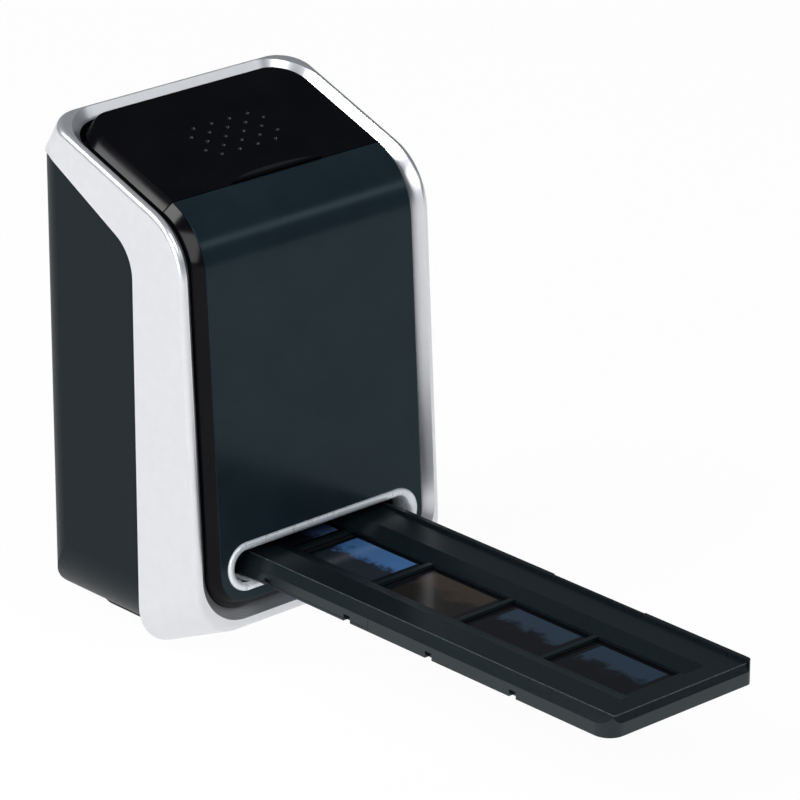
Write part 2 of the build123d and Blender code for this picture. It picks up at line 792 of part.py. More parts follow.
with BuildPart() as holder_cover:
    add(plate(wall_z, cover_z - wall_z))
    brick(cover_half - cover_play, holder_half + 1, holder_y0 - 1, holder_y1 + 1, wall_z - 1, holder_top, Mode.SUBTRACT)
    with BuildSketch(Plane.XZ.offset(-holder_mid)):
        with BuildLine():
            Polyline((-holder_half, wall_z), (-holder_half + crest_side, cover_z), (holder_half, cover_z),
                     (holder_half, wall_z), close=True)
        make_face()
    extrude(amount=holder_y1 - holder_y0, both=True, mode=Mode.INTERSECT)
    with BuildSketch(Plane.YZ):
        with BuildLine():
            Polyline((holder_y0, wall_z), (holder_y0 + crest_end, cover_z), (holder_y1 - crest_end, cover_z),
                     (holder_y1, wall_z), close=True)
        make_face()
    extrude(amount=holder_w, both=True, mode=Mode.INTERSECT)
    with BuildSketch(Plane.XY.offset(cover_low)):
        with Locations((0, holder_mid)):
            RectangleRounded(2 * (cover_half - cover_play), holder_y1 - holder_y0 - 2 * (holder_rim + cover_play),
                             cover_corner - cover_play)
    extrude(amount=wall_z - cover_low)
    brick(-holder_half, -cover_half - cover_play, knuckle_y0 + knuckle_play, knuckle_y1 - knuckle_play,
          knuckle_z + knuckle_play, wall_z)
    for y in frame_y:
        brick(-2 * holder_half, -holder_half + notch_in, y + notch_y - notch_l / 2, y + notch_y + notch_l / 2,
              holder_z - 1, holder_z + notch_h, Mode.SUBTRACT)
    with BuildSketch(Plane.XZ.offset(-frame_y[0] - frame_l / 2 - recess_end)):
        with BuildLine():
            Polyline((-recess_half, cover_z), (-frame_w / 2, cover_z - bar_drop), (frame_w / 2, cover_z - bar_drop),
                     (recess_half, cover_z), close=True)
        make_face()
    extrude(amount=frame_y[0] - frame_y[-1] + frame_l + 2 * recess_end, mode=Mode.SUBTRACT)
    with BuildSketch(Plane.XY.offset(holder_z - 1)):
        with Locations(*[(0, y) for y in frame_y]):
            Rectangle(frame_w, frame_l)
    extrude(amount=2 * holder_t, mode=Mode.SUBTRACT)
    with BuildSketch(Plane.XZ.offset(-holder_y1 + holder_pin_end)):
        with Locations((-holder_half + rim_w / 2, holder_pin_z)):
            Circle(holder_pin_d / 2)
    extrude(amount=holder_y1 - holder_y0 - 2 * holder_pin_end, mode=Mode.SUBTRACT)
holder_cover.part.label = "holder_cover"
export_step(holder_cover.part, "parts/holder_cover.step")

with BuildPart() as holder_pin:
    with BuildSketch(Plane.XZ.offset(-holder_y1 + holder_pin_end)):
        with Locations((-holder_half + rim_w / 2, holder_pin_z)):
            Circle(holder_pin_d / 2)
    extrude(amount=holder_y1 - holder_y0 - 2 * holder_pin_end)
holder_pin.part.label = "holder_hinge_pin"
export_step(holder_pin.part, "parts/holder_hinge_pin.step")

for name, y in (("latch_front", latch_y[0]), ("latch_rear", latch_y[1])):
    with BuildPart() as latch:
        brick(cover_half, holder_half, y - latch_l / 2 + knuckle_play, y + latch_l / 2 - knuckle_play,
              film_z, film_z + latch_h)
        chamfer(edges().filter_by(Axis.Y).sort_by(Axis.Z)[-2:].sort_by(Axis.X)[-1], latch_edge)
    latch.part.label = name
    export_step(latch.part, "parts/" + name + ".step")

with BuildPart() as film_strip:
    brick(-film_w / 2, film_w / 2, frame_y[-1] - frame_l / 2 - film_tail, frame_y[0] + frame_l / 2 + film_tail,
          film_z, film_z + film_t)
film_strip.part.label = "film_strip"
export_step(film_strip.part, "parts/film_strip.step")

# ---------------------------------------------------------------- film channel
guide_back = inner_back - guide_gap
channel_half = holder_half + guide_play
detent_y = frame_y[0] + notch_y - frame_pitch
with BuildPart() as lower_guide:
    brick(-guide_half, guide_half, guide_front, guide_back, guide_low, guide_high)
    brick(-channel_half, channel_half, guide_front - 1, guide_back + 1, holder_z - guide_play, guide_high + 1,
          Mode.SUBTRACT)
    brick(-gate_w / 2, gate_w / 2, axis_y - gate_l / 2, axis_y + gate_l / 2, guide_low - 1, holder_z, Mode.SUBTRACT)
    brick(-guide_half - 1, -channel_half + 0.5, detent_y - detent_slot / 2, detent_y + detent_slot / 2,
          detent_z, detent_z + detent_h, Mode.SUBTRACT)
lower_guide.part.label = "lower_guide"
export_step(lower_guide.part, "parts/lower_guide.step")

with BuildPart() as upper_guide:
    brick(-guide_half, guide_half, guide_front, guide_back, guide_high, guide_high + guide_t)
    brick(-gate_w / 2, gate_w / 2, axis_y - gate_l / 2, axis_y + gate_l / 2, guide_high - 1, guide_high + guide_t + 1,
          Mode.SUBTRACT)
upper_guide.part.label = "upper_guide"
export_step(upper_guide.part, "parts/upper_guide.step")

with BuildPart() as detent_spring:
    brick(-guide_half - detent_t, -guide_half, detent_y - detent_l / 2, detent_y + detent_l / 2,
          detent_z, detent_z + detent_h)
    with BuildSketch(Plane.XY.offset(detent_z)):
        with Locations((-guide_half, detent_y)):
            Circle(detent_r)
        with Locations((-guide_half - detent_t - detent_r, detent_y)):
            Rectangle(2 * detent_r, 3 * detent_r, mode=Mode.SUBTRACT)
    extrude(amount=detent_h)
detent_spring.part.label = "detent_spring"
export_step(detent_spring.part, "parts/detent_spring.step")

# ---------------------------------------------------------------- light under the gate
light_y = axis_y
with BuildPart() as light_box:
    brick(-light_half, light_half, light_y - light_l / 2, light_y + light_l / 2, floor_z, guide_low)
    brick(-light_half - light_ear, light_half + light_ear, light_y - light_ear, light_y + light_ear,
          floor_z, floor_z + light_ear_t)
    inner = light_wall + light_ledge
    brick(-light_half + inner, light_half - inner, light_y - light_l / 2 + inner, light_y + light_l / 2 - inner,
          floor_z - 1, guide_low + 1, Mode.SUBTRACT)
    brick(-light_half + light_wall, light_half - light_wall, light_y - light_l / 2 + light_wall,
          light_y + light_l / 2 - light_wall, guide_low - diffuser_drop - diffuser_t, guide_low + 1, Mode.SUBTRACT)
    with BuildSketch(Plane.XY.offset(floor_z - 1)):
        with Locations((-screw_x, light_y), (screw_x, light_y)):
            Circle(screw_d / 2)
    extrude(amount=light_ear_t + 2, mode=Mode.SUBTRACT)
light_box.part.label = "light_box"
export_step(light_box.part, "parts/light_box.step")

with BuildPart() as diffuser:
    k = light_wall + cover_play
    brick(-light_half + k, light_half - k, light_y - light_l / 2 + k, light_y + light_l / 2 - k,
          guide_low - diffuser_drop - diffuser_t, guide_low - diffuser_drop)
diffuser.part.label = "diffuser"
export_step(diffuser.part, "parts/diffuser.step")

with BuildPart() as backlight_board:
    k = light_wall + light_ledge + cover_play
    brick(-light_half + k, light_half - k, light_y - light_l / 2 + k, light_y + light_l / 2 - k,
          floor_z, floor_z + board_t)
    with BuildSketch(Plane.XY.offset(floor_z + board_t)):
        with Locations((0, light_y)):
            with GridLocations(led_pitch, led_pitch, led_n, led_n):
                Rectangle(led_w, led_w)
    extrude(amount=led_h)
backlight_board.part.label = "backlight_board"
export_step(backlight_board.part, "parts/backlight_board.step")

# ---------------------------------------------------------------- camera tower
tower_z = guide_high + guide_t
tower_plate = tower_top_z - tower_cap
with BuildPart() as optics_tower:
    for z, w in ((tower_z, tower_foot), (tower_top_z, tower_head)):
        with BuildSketch(Plane.XY.offset(z)):
            with Locations((0, axis_y - tower_shift)):
                Rectangle(w, w - 2 * tower_shift)
    loft(ruled=True)
    for z, w in ((tower_z, tower_foot - 2 * tower_wall), (tower_plate, tower_head - 2 * tower_wall)):
        with BuildSketch(Plane.XY.offset(z)):
            with Locations((0, axis_y - tower_shift)):
                Rectangle(w, w - 2 * tower_shift)
    loft(ruled=True, mode=Mode.SUBTRACT)
    with BuildSketch(Plane.XY.offset(tower_top_z)):
        with Locations((0, axis_y)):
            with GridLocations(2 * standoff_x, 2 * standoff_x, 2, 2):
                Circle(standoff_d / 2)
    extrude(amount=standoff_h)
    with BuildSketch(Plane.XY.offset(tower_plate - 1)):
        with Locations((0, axis_y)):
            Circle(barrel_d / 2)
    extrude(amount=tower_cap + 2, mode=Mode.SUBTRACT)
optics_tower.part.label = "optics_tower"
export_step(optics_tower.part, "parts/optics_tower.step")

barrel_z = tower_top_z - barrel_low
with BuildPart() as lens_barrel:
    with BuildSketch(Plane.XY.offset(barrel_z)):
        with Locations((0, axis_y)):
            Circle(barrel_d / 2)
            Circle(barrel_bore / 2 - lens_edge, mode=Mode.SUBTRACT)
    extrude(amount=barrel_l)
    for z in (barrel_z - 1, barrel_z + barrel_l - lens_t):
        with BuildSketch(Plane.XY.offset(z)):
            with Locations((0, axis_y)):
                Circle(barrel_bore / 2)
        extrude(amount=lens_t + 1, mode=Mode.SUBTRACT)
lens_barrel.part.label = "lens_barrel"
export_step(lens_barrel.part, "parts/lens_barrel.step")

for name, z in (("lower_lens", barrel_z), ("upper_lens", barrel_z + barrel_l - lens_t)):
    with BuildPart() as lens:
        with BuildSketch(Plane.XY.offset(z)):
            with Locations((0, axis_y)):
                Circle(barrel_bore / 2)
        extrude(amount=lens_t)
    lens.part.label = name
    export_step(lens.part, "parts/" + name + ".step")

sensor_z = tower_top_z + standoff_h
with BuildPart() as camera_board:
    brick(-sensor_board / 2, sensor_board / 2, axis_y - sensor_board / 2, axis_y + sensor_board / 2,
          sensor_z, sensor_z + board_t)
camera_board.part.label = "camera_board"
export_step(camera_board.part, "parts/camera_board.step")

with BuildPart() as image_sensor:
    brick(-sensor_w / 2, sensor_w / 2, axis_y - sensor_w / 2, axis_y + sensor_w / 2, sensor_z - sensor_t, sensor_z)
image_sensor.part.label = "image_sensor"
export_step(image_sensor.part, "parts/image_sensor.step")

# ---------------------------------------------------------------- main board, sockets, ribbon
with BuildPart() as main_board:
    brick(board_x, board_x + board_t, board_y0, board_y1, board_z0, board_z1)
main_board.part.label = "main_board"
export_step(main_board.part, "parts/main_board.step")

port_x = board_x + board_t
port_y = outer_back - port_play
with BuildPart() as usb_socket:
    brick(port_x, port_x + usb_t, port_y - usb_l, port_y, usb_z - usb_h / 2, usb_z + usb_h / 2)
    brick(port_x + usb_wall, port_x + usb_t - usb_wall, port_y - usb_l + usb_wall, port_y + 1,
          usb_z - usb_h / 2 + usb_wall, usb_z + usb_h / 2 - usb_wall, Mode.SUBTRACT)
    brick(port_x + usb_t / 2 - usb_wall / 2, port_x + usb_t / 2 + usb_wall / 2, port_y - usb_l, port_y - usb_wall,
          usb_z - usb_h / 4, usb_z + usb_h / 4)
usb_socket.part.label = "usb_socket"
export_step(usb_socket.part, "parts/usb_socket.step")

with BuildPart() as card_socket:
    brick(port_x, port_x + card_t, port_y - card_l, port_y, card_z - card_h / 2, card_z + card_h / 2)
    brick(port_x + card_wall, port_x + card_t - card_wall, port_y - card_l + card_wall, port_y + 1,
          card_z - card_h / 2 + card_wall, card_z + card_h / 2 - card_wall, Mode.SUBTRACT)
card_socket.part.label = "card_socket"
export_step(card_socket.part, "parts/card_socket.step")

ribbon_top = sensor_z + board_t
with BuildPart() as sensor_ribbon:
    with BuildSketch(Plane.XZ.offset(-axis_y - ribbon_w / 2)):
        with BuildLine():
            Polyline((ribbon_x0, ribbon_top), (ribbon_x0, ribbon_top + ribbon_t), (board_x, ribbon_top + ribbon_t),
                     (board_x, ribbon_top - ribbon_drop), (board_x - ribbon_t, ribbon_top - ribbon_drop),
                     (board_x - ribbon_t, ribbon_top), close=True)
        make_face()
    extrude(amount=ribbon_w)
sensor_ribbon.part.label = "sensor_ribbon"
export_step(sensor_ribbon.part, "parts/sensor_ribbon.step")

# ---------------------------------------------------------------- rear housing
housing_outer = form(housing_step, panel_t, housing_low, housing_corner)
with BuildPart() as rear_housing:
    add(housing_outer)
    add(seam_form(0, False), mode=Mode.INTERSECT)
    add(housing_hollow.part, mode=Mode.SUBTRACT)
    with BuildSketch(Plane.YZ.offset(port_x)):
        for y in boss_y:
            with Locations(*[(y, z) for z in boss_z]):
                Circle(boss_d / 2)
    extrude(amount=inner_half - port_x + housing_wall / 2)
    brick(-channel_half - exit_play, channel_half + exit_play, inner_back - 1, back_y,
          holder_z - exit_play, holder_top + exit_play, Mode.SUBTRACT)
    brick(port_x - port_play, port_x + usb_t + port_play, inner_back - 1, back_y,
          usb_z - usb_h / 2 - port_play, usb_z + usb_h / 2 + port_play, Mode.SUBTRACT)
    brick(port_x - port_play, port_x + card_t + port_play, inner_back - 1, back_y,
          card_z - card_h / 2 - port_play, card_z + card_h / 2 + port_play, Mode.SUBTRACT)
    with BuildSketch(Plane.XY.offset(-1)):
        with Locations((-screw_x, light_y), (screw_x, light_y)):
            Circle(screw_d / 2)
    extrude(amount=floor_z + 2, mode=Mode.SUBTRACT)
rear_housing.part.label = "rear_housing"
export_step(rear_housing.part, "parts/rear_housing.step")

with BuildPart() as foot_ring:
    foot_mid = (foot_front + foot_back) / 2
    with BuildSketch(Plane.XY):
        with Locations((0, foot_mid)):
            RectangleRounded(2 * foot_half, foot_back - foot_front, foot_corner)
            RectangleRounded(2 * (foot_half - foot_w), foot_back - foot_front - 2 * foot_w, foot_corner - foot_w,
                             mode=Mode.SUBTRACT)
    extrude(amount=2 * housing_low)
    add(housing_outer, mode=Mode.SUBTRACT)
foot_ring.part.label = "foot_ring"
export_step(foot_ring.part, "parts/foot_ring.step")

for name, x in (("base_screw_left", -screw_x), ("base_screw_right", screw_x)):
    with BuildPart() as screw:
        with BuildSketch(Plane.XY.offset(housing_low - screw_head_h)):
            with Locations((x, light_y)):
                Circle(screw_head / 2)
        extrude(amount=screw_head_h)
        with BuildSketch(Plane.XY.offset(housing_low)):
            with Locations((x, light_y)):
                Circle(screw_d / 2)
        extrude(amount=housing_wall + light_ear_t)
        brick(x - screw_head, x + screw_head, light_y - screw_slot / 2, light_y + screw_slot / 2,
              housing_low - 2 * screw_head_h, housing_low - screw_slot, Mode.SUBTRACT)
    screw.part.label = name
    export_step(screw.part, "parts/" + name + ".step")
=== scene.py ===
from math import radians, pi
import bpy
import numpy as np
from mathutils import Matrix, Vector


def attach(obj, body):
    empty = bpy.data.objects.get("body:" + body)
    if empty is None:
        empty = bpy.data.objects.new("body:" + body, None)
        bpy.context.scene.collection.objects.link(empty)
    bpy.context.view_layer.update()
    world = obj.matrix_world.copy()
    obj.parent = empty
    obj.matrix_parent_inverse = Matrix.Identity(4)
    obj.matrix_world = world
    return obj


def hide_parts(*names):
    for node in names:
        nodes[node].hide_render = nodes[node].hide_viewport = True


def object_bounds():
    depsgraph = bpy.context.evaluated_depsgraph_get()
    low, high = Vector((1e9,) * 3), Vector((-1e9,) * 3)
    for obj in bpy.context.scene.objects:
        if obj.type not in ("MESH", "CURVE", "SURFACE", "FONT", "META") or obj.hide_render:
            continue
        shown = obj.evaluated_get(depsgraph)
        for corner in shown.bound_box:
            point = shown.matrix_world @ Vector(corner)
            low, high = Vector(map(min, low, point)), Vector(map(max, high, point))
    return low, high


# Shapes are worked out in millimetres and turned into metres at the mesh. x runs across the front,
# t along the skin of front and lid (see skin), and depth goes in from that skin.
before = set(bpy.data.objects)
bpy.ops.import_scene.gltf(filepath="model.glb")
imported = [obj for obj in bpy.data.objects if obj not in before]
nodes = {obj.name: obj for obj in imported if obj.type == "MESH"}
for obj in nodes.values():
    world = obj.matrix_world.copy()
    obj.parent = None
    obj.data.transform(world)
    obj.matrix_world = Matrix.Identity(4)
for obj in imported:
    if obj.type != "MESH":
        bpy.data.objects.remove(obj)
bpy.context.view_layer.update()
MM = 0.001


# ---------------------------------------------------------------- camera
CAMERA_AT = (-1.02654, -1.20561, 0.70638)
CAMERA_AHEAD = (0.62476, 0.68640, -0.37219)
FOCAL_MM, SENSOR_MM, FARTHEST = 234.0, 36.0, 20


def make_camera():
    """Long lens, 1.7 m off, 42 degrees to the left of the front and 22 degrees up."""
    cam = bpy.data.cameras.new("camera")
    cam.lens = FOCAL_MM
    cam.sensor_width = SENSOR_MM
    cam.clip_end = FARTHEST
    ob = bpy.data.objects.new("camera", cam)
    bpy.context.scene.collection.objects.link(ob)
    ob.location = Vector(CAMERA_AT)
    ob.rotation_euler = Vector(CAMERA_AHEAD).normalized().to_track_quat("-Z", "Y").to_euler()
    bpy.context.scene.camera = ob


make_camera()
bpy.context.scene.view_settings.view_transform = "Standard"


# ---------------------------------------------------------------- material nodes
MIX_A, MIX_B, MIX_OUT = 6, 7, 2  # the colour sockets of a Mix node


def link(t, a, out, b, inp):
    t.links.new(a.outputs[out], b.inputs[inp])


def node(t, kind, values=None):
    """New shader node with constant values on the sockets named in values."""
    n = t.nodes.new("ShaderNode" + kind)
    for socket, value in (values or {}).items():
        n.inputs[socket].default_value = value
    return n


def sums(t, operation, *terms):
    """Math node. Each term is a number or a pair of node and output name."""
    n = node(t, "Math")
    n.operation = operation
    for i, term in enumerate(terms):
        if isinstance(term, tuple):
            link(t, *term, n, i)
        else:
            n.inputs[i].default_value = term
    return n


def ramp(t, stops, kind="LINEAR"):
    """Colour ramp from pairs of position and colour."""
    r = node(t, "ValToRGB")
    r.color_ramp.interpolation = kind
    e = r.color_ramp.elements
    for i, (at, color) in enumerate(stops):
        stop = e[i] if i < 2 else e.new(at)
        stop.position, stop.color = at, (*color, 1)
    return r


def remap(t, source, low, high, to=(0.0, 1.0)):
    """Map Range node over a pair of node and output name."""
    r = node(t, "MapRange", {"From Min": low, "From Max": high, "To Min": to[0], "To Max": to[1]})
    link(t, *source, r, "Value")
    return r


def blend(t, factor):
    """Colour mix whose share of the second colour is a pair of node and output name."""
    m = node(t, "Mix")
    m.data_type = "RGBA"
    link(t, *factor, m, "Factor")
    return m


def mix_shaders(t, factor, first, second, out):
    """Mix of two shaders, or two backgrounds, into an output node."""
    m = node(t, "MixShader")
    link(t, *factor, m, "Fac")
    t.links.new(first.outputs[0], m.inputs[1])
    t.links.new(second.outputs[0], m.inputs[2])
    t.links.new(m.outputs[0], out.inputs["Surface"])


def noise(t, scale, detail=4.0, rough=0.55, stretch=(1, 1, 1)):
    """Noise on Object coordinates, scale per metre."""
    mp = node(t, "Mapping", {"Scale": stretch})
    n = node(t, "TexNoise", {"Scale": scale, "Detail": detail, "Roughness": rough})
    link(t, node(t, "TexCoord"), "Object", mp, "Vector")
    link(t, mp, "Vector", n, "Vector")
    return n


# ---------------------------------------------------------------- finishes
def shader(name, color, rough, metal=0.0, coat=0.0, coat_rough=0.05, spec=0.5):
    m = bpy.data.materials.new(name)
    m.use_nodes = True
    b = m.node_tree.nodes["Principled BSDF"]
    for socket, value in (("Base Color", (*color, 1)), ("Roughness", rough), ("Metallic", metal),
                          ("Coat Weight", coat), ("Coat Roughness", coat_rough), ("IOR", 1.5),
                          ("Specular IOR Level", spec)):
        b.inputs[socket].default_value = value
    return m, m.node_tree, b


def tint(t, b, n, low, high):
    """Colour that wanders between two near tones with the noise."""
    r = ramp(t, [(0.35, low), (0.65, high)])
    link(t, n, "Fac", r, "Fac")
    link(t, r, "Color", b, "Base Color")


def finish(name, low, high, rough, scale, metal=0.0, coat=0.0, coat_rough=0.05,
           bump_mm=0.0, spec=0.5, stretch=(1, 1, 1), shine=None):
    """A moulded, painted or metal finish: two near tones, wandering gloss and, where bump_mm is
    given, a fine grain. shine tints the reflection."""
    m, t, b = shader(name, low, rough[0], metal, coat, coat_rough, spec)
    if shine:
        b.inputs["Specular Tint"].default_value = (*shine, 1)
    n = noise(t, scale, stretch=stretch)
    tint(t, b, n, low, high)
    link(t, remap(t, (n, "Fac"), 0.3, 0.7, rough), "Result", b, "Roughness")
    if bump_mm:
        k = node(t, "Bump", {"Strength": 0.6, "Distance": bump_mm * MM})
        link(t, noise(t, scale * 6, 3, 0.6, stretch), "Fac", k, "Height")
        link(t, k, "Normal", b, "Normal")
    return m


silver = finish("silver_paint", (0.70, 0.71, 0.735), (0.72, 0.73, 0.755), (0.29, 0.30), 250, metal=0.75)
housing = finish("housing_plastic", (0.004, 0.007, 0.009), (0.006, 0.010, 0.013), (0.38, 0.46), 700,
                 bump_mm=0.006, spec=0.10, shine=(0.7, 0.9, 1.0))
gloss = finish("gloss_panel", (0.008, 0.015, 0.020), (0.010, 0.018, 0.024), (0.16, 0.21), 60,
               spec=0.18, shine=(0.55, 0.85, 1.0))
# The crest bead is ten times lighter in tone than the holder: a painted highlight line along the cover's
# crest.
bead = finish("crest_painted_highlight", (0.030, 0.036, 0.038), (0.050, 0.058, 0.060), (0.22, 0.30), 600)
bowl = finish("dot_bowl", (0.002, 0.002, 0.003), (0.003, 0.003, 0.004), (0.34, 0.40), 300, spec=0.25)
strip = finish("gloss_edge", (0.001, 0.001, 0.002), (0.002, 0.002, 0.003), (0.12, 0.16), 60, spec=0.12)
lid_gloss = finish("gloss_lid", (0.002, 0.002, 0.003), (0.003, 0.003, 0.004), (0.12, 0.16), 60, spec=0.08)
chrome = finish("slot_chrome", (0.75, 0.78, 0.82), (0.78, 0.81, 0.85), (0.27, 0.285), 250, metal=0.35)
black = finish("black_plastic", (0.003, 0.003, 0.004), (0.005, 0.005, 0.006), (0.5, 0.6), 500,
               bump_mm=0.01, spec=0.15)
tray = finish("holder_plastic", (0.003, 0.006, 0.007), (0.005, 0.008, 0.010), (0.28, 0.34), 800,
              bump_mm=0.003, spec=0.45, shine=(0.75, 0.95, 1.0))
rubber = finish("foot_rubber", (0.010, 0.010, 0.010), (0.016, 0.016, 0.016), (0.7, 0.8), 900, bump_mm=0.02)
steel = finish("bright_steel", (0.50, 0.50, 0.50), (0.60, 0.60, 0.61), (0.25, 0.35), 400,
               metal=1.0, stretch=(1, 8, 8))
board = finish("circuit_board", (0.01, 0.09, 0.03), (0.015, 0.12, 0.045), (0.35, 0.45), 300, bump_mm=0.01)
sensor = finish("sensor_face", (0.02, 0.025, 0.04), (0.03, 0.035, 0.055), (0.1, 0.15), 300, coat=0.5)
amber = finish("ribbon_film", (0.35, 0.14, 0.03), (0.42, 0.18, 0.04), (0.3, 0.4), 300)
white = finish("white_plastic", (0.70, 0.70, 0.69), (0.76, 0.76, 0.75), (0.5, 0.6), 300, bump_mm=0.005)
button = finish("button_plastic", (0.10, 0.105, 0.115), (0.13, 0.135, 0.145), (0.4, 0.5), 600, bump_mm=0.01)
screen = finish("screen_window", (0.004, 0.005, 0.006), (0.006, 0.007, 0.009), (0.05, 0.08), 60,
                coat=0.6, coat_rough=0.02)
lens = finish("lens_glass", (0.02, 0.03, 0.05), (0.03, 0.045, 0.07), (0.03, 0.05), 60,
              coat=0.8, coat_rough=0.01)


# ---------------------------------------------------------------- film pictures
STRIP_FROM, STRIP_TO, FRAMES = -0.1935, 0.0345, 6  # the strip's ends along Y in metres
PICTURE_HALF_STEP, PICTURE_HALF_X = 0.37, 0.0098   # half a picture: as a share of the step, in metres
# Colour of the border left round each picture inside its window: painted shade of the window walls on the
# film.
WELL_SHADE_BORDER = (0.002, 0.002, 0.003)
SKIES = [(0.016, 0.030, 0.050), (0.018, 0.032, 0.052), (0.032, 0.023, 0.016),
         (0.045, 0.12, 0.28), (0.05, 0.09, 0.20), (0.04, 0.05, 0.08)]
GROUNDS = [(0.002, 0.002, 0.003), (0.002, 0.002, 0.003), (0.010, 0.008, 0.006),
           (0.012, 0.016, 0.022), (0.008, 0.010, 0.014), (0.006, 0.006, 0.008)]


def picture_film():
    """Film with a picture per frame: the frame number comes from the place along the strip, each
    frame has its own pair of tones, and they blend across the frame with soft clouds. Each picture is
    smaller than its window, and the dark border left round it is painted shade of the window walls."""
    m, t, b = shader("film_pictures", (0.03, 0.04, 0.08), 0.14, spec=0.3)
    xyz = node(t, "SeparateXYZ")
    link(t, node(t, "TexCoord"), "Object", xyz, "Vector")
    place = remap(t, (xyz, "Y"), STRIP_FROM, STRIP_TO)
    upper, lower = (ramp(t, [(i / FRAMES, tone) for i, tone in enumerate(tones)], "CONSTANT")
                    for tones in (SKIES, GROUNDS))
    link(t, place, "Result", upper, "Fac")
    link(t, place, "Result", lower, "Fac")
    across = sums(t, "MULTIPLY_ADD", (xyz, "X"), 45.0, (noise(t, 160, 6, 0.65), "Fac"))
    horizon = remap(t, (across, "Value"), 0.38, 0.62)
    horizon.interpolation_type = "SMOOTHSTEP"
    view = blend(t, (horizon, "Result"))
    link(t, lower, "Color", view, MIX_A)
    link(t, upper, "Color", view, MIX_B)
    within = sums(t, "FRACT", (sums(t, "MULTIPLY", (place, "Result"), float(FRAMES)), "Value"))
    masks = []
    for source, middle, half in (((within, "Value"), 0.5, PICTURE_HALF_STEP),
                                 ((xyz, "X"), 0.0, PICTURE_HALF_X)):
        off = sums(t, "ABSOLUTE", (sums(t, "SUBTRACT", source, middle), "Value"))
        masks.append((remap(t, (off, "Value"), half * 1.04, half), "Result"))
    picture = blend(t, (sums(t, "MULTIPLY", *masks), "Value"))
    picture.inputs[MIX_A].default_value = (*WELL_SHADE_BORDER, 1)
    link(t, view, MIX_OUT, picture, MIX_B)
    link(t, picture, MIX_OUT, b, "Base Color")
    return m


dress = {
    "frame_ring": silver, "rear_housing": housing, "front_panel": gloss, "top_lid": lid_gloss,
    "slot_ring": chrome, "inner_bezel": black, "control_deck": black, "display_module": black,
    "display_window": screen, "lower_guide": black, "upper_guide": black, "light_box": white,
    "diffuser": white, "optics_tower": black, "lens_barrel": black, "lower_lens": lens,
    "upper_lens": lens, "camera_board": board, "main_board": board, "button_board": board,
    "backlight_board": board, "image_sensor": sensor, "usb_socket": steel, "card_socket": steel,
    "sensor_ribbon": amber, "detent_spring": steel, "lid_hinge_pin": steel,
    "holder_hinge_pin": steel, "base_screw_left": steel, "base_screw_right": steel,
    "foot_ring": rubber, "holder_base": tray, "holder_cover": tray, "latch_front": tray,
    "latch_rear": tray, "film_strip": picture_film(),
}
for name, ob in nodes.items():
    ob.data.materials.clear()
    ob.data.materials.append(dress.get(name, button))


# ---------------------------------------------------------------- side profile
LEAN, SLOPE, FACE_Y, SHOULDER_Z, BEND = 3.03, 19.8, -42.6, 150.7, 24.0
low_angle, high_angle = radians(LEAN), radians(90 - SLOPE)
face_dir = np.array([np.sin(low_angle), np.cos(low_angle)])
slope_dir = np.array([np.cos(radians(SLOPE)), np.sin(radians(SLOPE))])
corner = np.array([FACE_Y + np.tan(low_angle) * SHOULDER_Z, SHOULDER_Z])
inward = (np.array([np.cos(low_angle), -np.sin(low_angle)])
          + np.array([np.cos(high_angle), -np.sin(high_angle)]))
centre = corner + BEND * inward / (1 + np.cos(high_angle - low_angle))
bend_len = BEND * (high_angle - low_angle)


def skin(x, t, depth):
    """Point on the side profile: t millimetres along the skin from the top of the bend (up the lid
    plane above 0, round the bend below, down the front plane past the bend's length), depth under it.
    The bend is an arc of radius BEND about one centre, so depth shortens its radius."""
    a = np.clip(high_angle + t / BEND, low_angle, high_angle)
    y = centre[0] - (BEND - depth) * np.cos(a)
    z = centre[1] + (BEND - depth) * np.sin(a)
    up = np.maximum(t, 0)
    down = np.minimum(t + bend_len, 0)
    y = y + up * slope_dir[0] + down * face_dir[0]
    z = z + up * slope_dir[1] + down * face_dir[1]
    return np.stack([x + 0 * y, y, z], -1) * MM


def front_t(z):
    """Place along the skin of a height on the front plane."""
    foot = centre[1] + BEND * np.sin(low_angle)
    return -bend_len - (foot - z) / face_dir[1]


# ---------------------------------------------------------------- surfaces
SHARP = 35  # edges steeper than this many degrees stay sharp


def surface(name, pts, material, around=True, sharp=SHARP):
    """Grid of points (rows, columns, 3), or several such grids in one array, as quads in one mesh.
    Columns close on themselves where around is set."""
    grids = pts.reshape(-1, *pts.shape[-3:])
    count, r, c = grids.shape[:3]
    i = np.arange(r - 1)[:, None]
    j = np.arange(c if around else c - 1)[None, :]
    j2 = (j + 1) % c
    quads = np.stack([i * c + j, i * c + j2, (i + 1) * c + j2, (i + 1) * c + j], -1).reshape(1, -1, 4)
    quads = (quads + r * c * np.arange(count)[:, None, None]).reshape(-1, 4)
    me = bpy.data.meshes.new(name)
    me.from_pydata(grids.reshape(-1, 3).tolist(), [], quads.tolist())
    me.update()
    me.polygons.foreach_set("use_smooth", np.ones(len(me.polygons), bool))
    me.set_sharp_from_angle(angle=radians(sharp))
    me.materials.append(material)
    ob = bpy.data.objects.new(name, me)
    bpy.context.scene.collection.objects.link(ob)
    return ob


def circle(n):
    return np.linspace(0, 2 * pi, n, endpoint=False)


# ---------------------------------------------------------------- front panel
PANEL_HALF, PANEL_FOOT_Z, PANEL_CORNER, PANEL_T = 46.6, 20.6, 13.5, 4.4
PANEL_BEVEL = ((0, PANEL_T), (0, 3.3), (0.06, 3.12), (0.2, 2.92), (2.9, 0.22), (3.06, 0.07), (3.3, 0.0))
STRIP_ROWS = 5                   # rows of the bevel that take the darker gloss
SLOT_Z, SLOT_CORE, SLOT_R = 35.3, 32.6, 7.0
SLOT_MOUTH = 0.6                 # depth at which the wall of the slot's hole begins
BLEND_ROWS = 92


